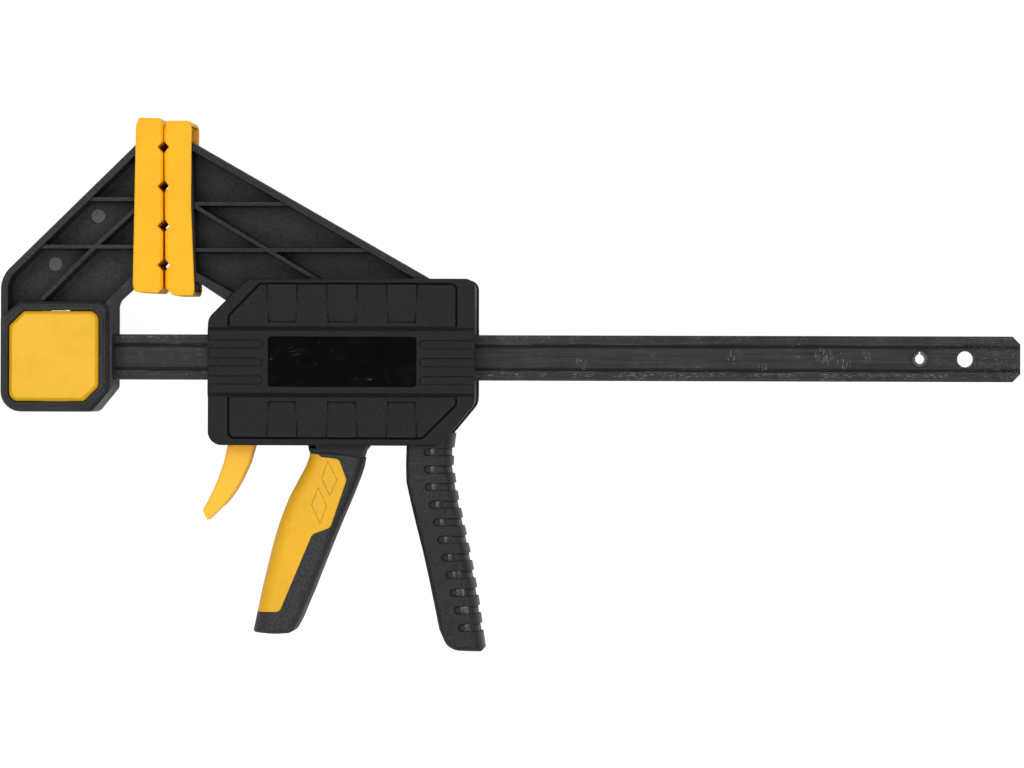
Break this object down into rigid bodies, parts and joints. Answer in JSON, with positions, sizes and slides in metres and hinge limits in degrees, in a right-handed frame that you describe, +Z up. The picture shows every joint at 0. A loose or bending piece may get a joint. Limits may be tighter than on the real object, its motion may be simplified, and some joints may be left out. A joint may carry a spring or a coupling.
{
  "type": "quick release bar clamp",
  "caption": "One-handed bar clamp with ribbed jaws, slip-on pads, squeeze handle, release lever and a button that frees the fixed jaw.",
  "frame": {"origin": "under the middle of the clamp's outline, on the surface that the rear cover lies on", "axes": "+X along the bar from the fixed jaw to the free end, +Y from the grips towards the jaws, +Z up through the thickness, out of the near cover"},
  "size_m": [0.447, 0.2334, 0.036],
  "materials": {
    "bar_steel": "dark blued steel with fine scratches",
    "pin_steel": "plain steel",
    "spring_steel": "bright spring wire",
    "plate_steel": "hardened plate",
    "screw_steel": "dark zinc",
    "black_nylon": "moulded, fine texture",
    "black_cover": "moulded, satin",
    "gloss_label": "glossy, bare",
    "yellow_nylon": "moulded, satin",
    "yellow_pad": "soft, satin",
    "yellow_soft": "soft touch, matte",
    "black_soft": "soft touch, matte"
  },
  "bodies": {
    "bar": {"bar": "bar_steel", "stop_pin": "pin_steel", "fixed_jaw": "black_nylon", "fixed_pad": "yellow_pad", "button_spring": "spring_steel"},
    "push_button": {"push_button": "yellow_nylon", "latch_pin": "plate_steel"},
    "carriage": {"carriage_frame": "black_nylon", "front_cover": "black_cover", "rear_cover": "black_cover", "label_plate": "gloss_label", "moving_pad": "yellow_pad", "cover_screws": "screw_steel", "handle_pivot_pin": "pin_steel", "drive_spring": "spring_steel", "brake_spring": "spring_steel"},
    "trigger": {"trigger_lever": "black_nylon", "trigger_grip": "black_soft", "trigger_inlay": "yellow_soft"},
    "drive_plates": {"drive_plate_a": "plate_steel", "drive_plate_b": "plate_steel"},
    "brake": {"brake_plate": "plate_steel", "release_lever": "yellow_nylon"}
  },
  "joints": [
    {"name": "button_press", "type": "slide", "parent": "bar", "child": "push_button", "axis": [0, 0, -1], "range_m": [0, 0.0036], "stiffness_N_per_m": 800, "springref_m": -0.004, "deforming": ["button_spring"]},
    {"name": "carriage_slide", "type": "slide", "parent": "bar", "child": "carriage", "axis": [1, 0, 0], "range_m": [0, 0.1914]},
    {"name": "trigger_squeeze", "type": "hinge", "parent": "carriage", "child": "trigger", "pos_m": [-0.08375, 0.03186, 0.018], "axis": [0, 0, 1], "range_deg": [0, 15], "stiffness_Nm_per_rad": 1.5, "springref_deg": -14.32, "deforming": ["drive_spring"]},
    {"name": "drive_plates_slide", "type": "slide", "parent": "carriage", "child": "drive_plates", "axis": [1, 0, 0], "range_m": [0, 0.0101], "deforming": ["drive_spring"]},
    {"name": "brake_release", "type": "hinge", "parent": "carriage", "child": "brake", "pos_m": [-0.11145, 0.02986, 0.018], "axis": [0, 0, 1], "range_deg": [0, 7], "stiffness_Nm_per_rad": 0.8, "springref_deg": -11.46, "deforming": ["brake_spring"]}
  ],
  "couplings": [
    {"joint": "drive_plates_slide", "follows": "trigger_squeeze", "m_per_rad": 0.0382}
  ]
}
